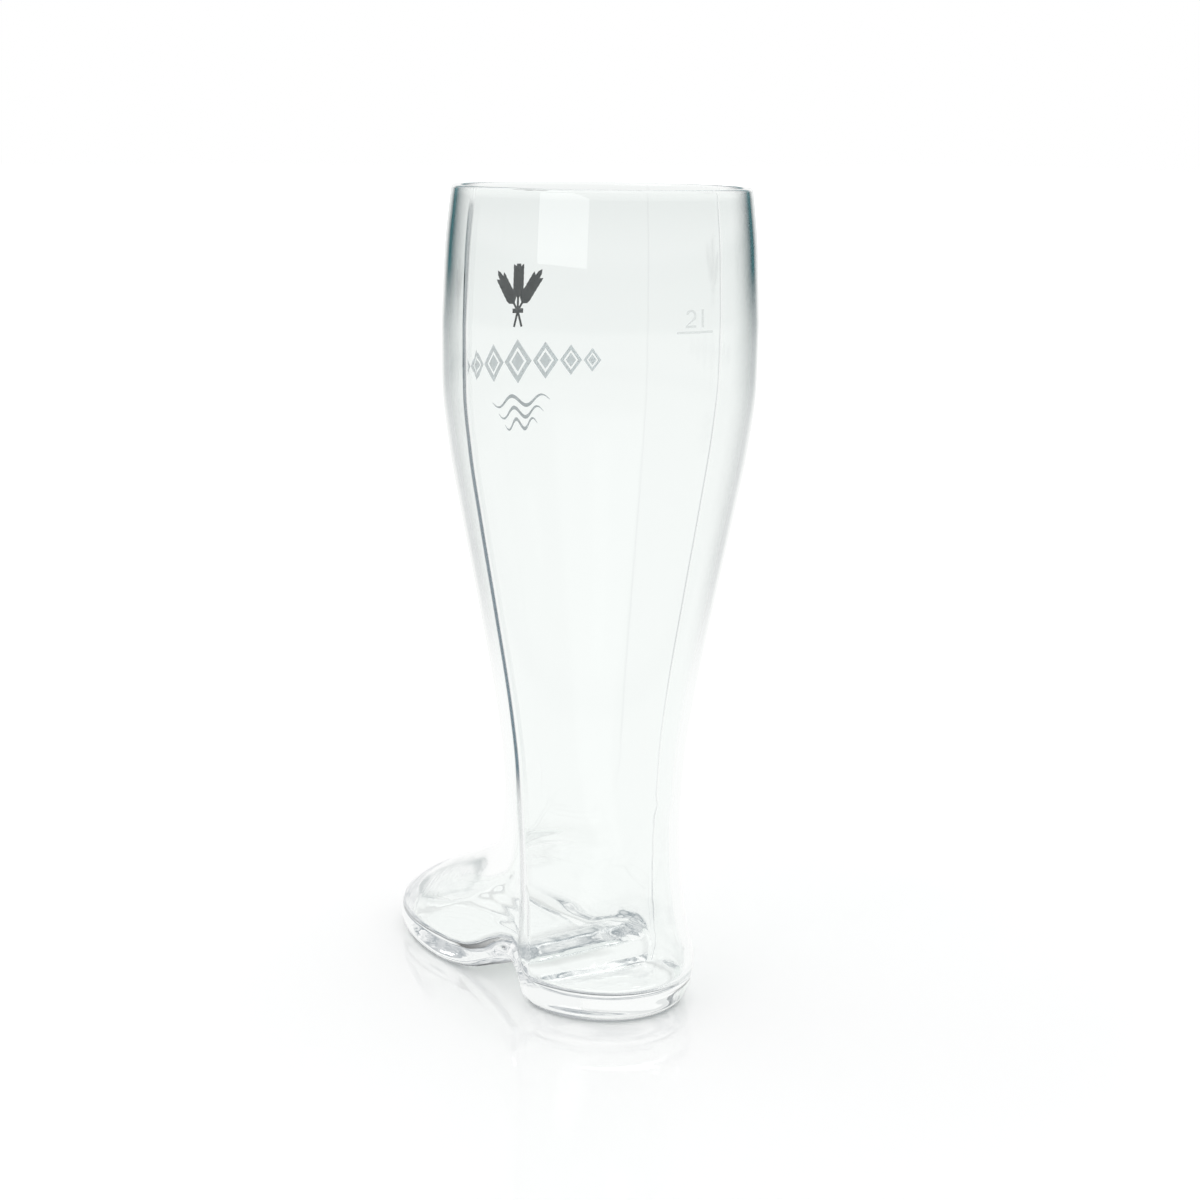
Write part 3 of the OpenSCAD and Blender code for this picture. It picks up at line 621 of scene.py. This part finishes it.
# The room's level round the boot: bright ahead, dull at both sides, middling on the camera's side. Near the
# boot it is white all round.
def addRoomLevel(tree, turn, distance):
    stretches = (("backdrop", "LINEAR"), ("fill", "SMOOTHSTEP"), ("dull", "SMOOTHSTEP"))
    ahead, behind, sides = (addNode(tree, "ShaderNodeMapRange",
                                    {"interpolation_type": curve, "From Min": studio[kind + "Away"][0],
                                     "From Max": studio[kind + "Away"][1], "To Min": 1.0,
                                     "To Max": studio[kind + "Level"]}, {"Value": distance})
                            for kind, curve in stretches)
    edge, fill = (addNode(tree, "ShaderNodeMapRange",
                          {"interpolation_type": "SMOOTHSTEP", "From Min": math.radians(studio[k][0]),
                           "From Max": math.radians(studio[k][1])}, {"Value": turn})
                  for k in ("backdropEdge", "fillEdge"))
    front = addNode(tree, "ShaderNodeMix", {"data_type": "FLOAT"},
                    {0: edge.outputs[0], 2: ahead.outputs[0], 3: sides.outputs[0]})
    around = addNode(tree, "ShaderNodeMix", {"data_type": "FLOAT"},
                     {0: fill.outputs[0], 2: front.outputs[0], 3: behind.outputs[0]})
    # The dull stretches show only where the outside mirrors them, so in rays that were mirrored and never
    # refracted. Through the glass the room is as bright all round as the backdrop.
    light = addNode(tree, "ShaderNodeLightPath")
    unmirrored = addNode(tree, "ShaderNodeMath", {"operation": "LESS_THAN", 1: 0.5},
                         {0: light.outputs["Glossy Depth"]})
    refracted = addNode(tree, "ShaderNodeMath", {"operation": "GREATER_THAN", 1: 0.5},
                        {0: light.outputs["Transmission Depth"]})
    straight = addNode(tree, "ShaderNodeMath", {"operation": "MAXIMUM"},
                       {0: unmirrored.outputs[0], 1: refracted.outputs[0]})
    seen = addNode(tree, "ShaderNodeMix", {"data_type": "FLOAT"},
                   {0: straight.outputs[0], 2: around.outputs[0], 3: ahead.outputs[0]})
    return seen.outputs[0]


# Glossy acrylic sheet on white paper under the boot. The camera sees it lit, with its shadow and mirror image;
# in the glass it has the room's level.
def tableMaterial():
    material, tree = newMaterial("white_acrylic_on_paper")
    light = addNode(tree, "ShaderNodeLightPath")
    place = addNode(tree, "ShaderNodeNewGeometry")
    fromShaft = addNode(tree, "ShaderNodeVectorMath", {"operation": "SUBTRACT", 1: (axisX * toMetres, 0, 0)},
                        {0: place.outputs["Position"]})
    turn = addTurn(tree, fromShaft.outputs[0])
    distance = addNode(tree, "ShaderNodeVectorMath", {"operation": "LENGTH"}, {0: fromShaft.outputs[0]})
    level = addRoomLevel(tree, turn, distance.outputs["Value"])
    beside = addNode(tree, "ShaderNodeMapRange",
                     {"From Min": math.radians(studio["panelEdge"][0]),
                      "From Max": math.radians(studio["panelEdge"][1]),
                      "To Min": studio["panelGain"], "To Max": 1.0}, {"Value": turn})
    beyond = addNode(tree, "ShaderNodeMapRange",
                     {"From Min": studio["panelEnd"][0], "From Max": studio["panelEnd"][1]},
                     {"Value": distance.outputs["Value"]})
    panel = addNode(tree, "ShaderNodeMix", {"data_type": "FLOAT", 3: 1.0},
                    {0: beyond.outputs[0], 2: beside.outputs[0]})
    # Contact shadow: dark in the gap beside the base, but lit through the glass where the base stands flat
    closeBy = addNode(tree, "ShaderNodeAmbientOcclusion", {"Distance": studio["contactReach"], "samples": 8})
    standing = addNode(tree, "ShaderNodeAmbientOcclusion", {"Distance": studio["standReach"], "samples": 4})
    shadow = addNode(tree, "ShaderNodeMapRange", {"From Min": 0.0, "From Max": studio["contactOpen"],
                                                  "To Min": studio["contactLeast"], "To Max": 1.0},
                     {"Value": closeBy.outputs["AO"]})
    contact = addNode(tree, "ShaderNodeMix", {"data_type": "FLOAT", 2: 1.0},
                      {0: standing.outputs["AO"], 3: shadow.outputs[0]})
    deeper = addNode(tree, "ShaderNodeMath", {"operation": "GREATER_THAN", 1: blownGlass["firstLook"]},
                     {0: light.outputs["Transmission Depth"]})
    shown = addNode(tree, "ShaderNodeMapRange", {"To Min": 1.0, "To Max": studio["contactBeyond"]},
                    {"Value": deeper.outputs[0]})
    faint = addNode(tree, "ShaderNodeMix", {"data_type": "FLOAT", 2: 1.0},
                    {0: shown.outputs[0], 3: contact.outputs[0]})
    lit = addNode(tree, "ShaderNodeMath", {"operation": "MULTIPLY"}, {0: panel.outputs[0], 1: faint.outputs[0]})
    colour = addNode(tree, "ShaderNodeMix", {"data_type": "RGBA", 6: linear(studio["shade"]), 7: (1, 1, 1, 1)},
                     {0: level})
    inGlass = addNode(tree, "ShaderNodeEmission", {}, {"Color": colour.outputs[2], "Strength": lit.outputs[0]})
    own = addNode(tree, "ShaderNodeMapRange",
                  {"interpolation_type": "SMOOTHSTEP", "From Min": studio["glowNear"][0],
                   "From Max": studio["glowNear"][1], "To Min": studio["cameraGlow"], "To Max": 1.0},
                  {"Value": distance.outputs["Value"]})
    ownShaded = addNode(tree, "ShaderNodeMath", {"operation": "MULTIPLY"},
                        {0: own.outputs[0], 1: contact.outputs[0]})
    glow = addNode(tree, "ShaderNodeMath", {"operation": "MULTIPLY"},
                   {0: light.outputs["Is Camera Ray"], 1: ownShaded.outputs[0]})
    sheet = addNode(tree, "ShaderNodeBsdfPrincipled",
                    {"Base Color": linear(studio["floorColour"]), "Roughness": studio["floorRoughness"],
                     "Specular IOR Level": studio["floorGloss"], "Emission Color": (1, 1, 1, 1)},
                    {"Emission Strength": glow.outputs[0]})
    seenInGlass = addNode(tree, "ShaderNodeMath", {"operation": "MAXIMUM"},
                          {0: light.outputs["Is Glossy Ray"], 1: light.outputs["Is Transmission Ray"]})
    mixed = addNode(tree, "ShaderNodeMixShader", {}, {0: seenInGlass.outputs[0], 1: sheet.outputs[0],
                                                      2: inGlass.outputs[0]})
    addNode(tree, "ShaderNodeOutputMaterial", {}, {"Surface": mixed.outputs[0]})
    return material


def buildFloor():
    mesh = bpy.data.meshes.new("studio_floor")
    half = studio["floorSize"] / 2
    corners = [(-half, -half, 0), (half, -half, 0), (half, half, 0), (-half, half, 0)]
    mesh.from_pydata(corners, [], [(0, 1, 2, 3)])
    mesh.materials.append(tableMaterial())
    floor = bpy.data.objects.new("studio_floor", mesh)
    floor.location.z = -studio["floorDrop"]
    bpy.context.scene.collection.objects.link(floor)


def buildLamps():
    for lamp in studio["lamps"]:
        data = bpy.data.lights.new(lamp["name"], "AREA")
        data.shape = "RECTANGLE"
        data.size, data.size_y = lamp["size"]
        data.energy = lamp["watts"]
        item = bpy.data.objects.new(lamp["name"], data)
        item.location = lamp["at"]
        item.visible_transmission = lamp["through"]
        towards = Vector(studio["lampAim"]) - Vector(lamp["at"])
        item.rotation_euler = towards.to_track_quat("-Z", "Y").to_euler()
        bpy.context.scene.collection.objects.link(item)


def buildWorld():
    world = bpy.data.worlds.new("studio_surroundings")
    bpy.context.scene.world = world
    world.use_nodes = True
    tree = world.node_tree
    tree.nodes.clear()
    light = addNode(tree, "ShaderNodeLightPath")
    direction = addNode(tree, "ShaderNodeTexCoord").outputs["Generated"]
    above = [math.sin(math.radians(a)) for a in studio["overheadEdge"]]
    parts = addNode(tree, "ShaderNodeSeparateXYZ", {}, {0: direction})
    height = addNode(tree, "ShaderNodeMapRange",
                     {"interpolation_type": "SMOOTHSTEP", "From Min": above[0], "From Max": above[1]},
                     {"Value": parts.outputs[2]})
    farOff = addNode(tree, "ShaderNodeValue")
    farOff.outputs[0].default_value = studio["worldAway"]
    room = addNode(tree, "ShaderNodeMix", {"data_type": "FLOAT", 3: studio["overheadLevel"]},
                   {0: height.outputs[0], 2: addRoomLevel(tree, addTurn(tree, direction), farOff.outputs[0])})
    level = addNode(tree, "ShaderNodeMix", {"data_type": "FLOAT", 3: 1.0},
                    {0: light.outputs["Is Camera Ray"], 2: room.outputs[0]})
    colour = addNode(tree, "ShaderNodeMix", {"data_type": "RGBA", 6: linear(studio["shade"]), 7: (1, 1, 1, 1)},
                     {0: level.outputs[0]})
    surroundings = addNode(tree, "ShaderNodeBackground", {"Strength": 1.0}, {"Color": colour.outputs[2]})
    addNode(tree, "ShaderNodeOutputWorld", {}, {"Surface": surroundings.outputs[0]})


buildFloor()
buildLamps()
buildWorld()
print("studio built")

bpy.context.view_layer.update()
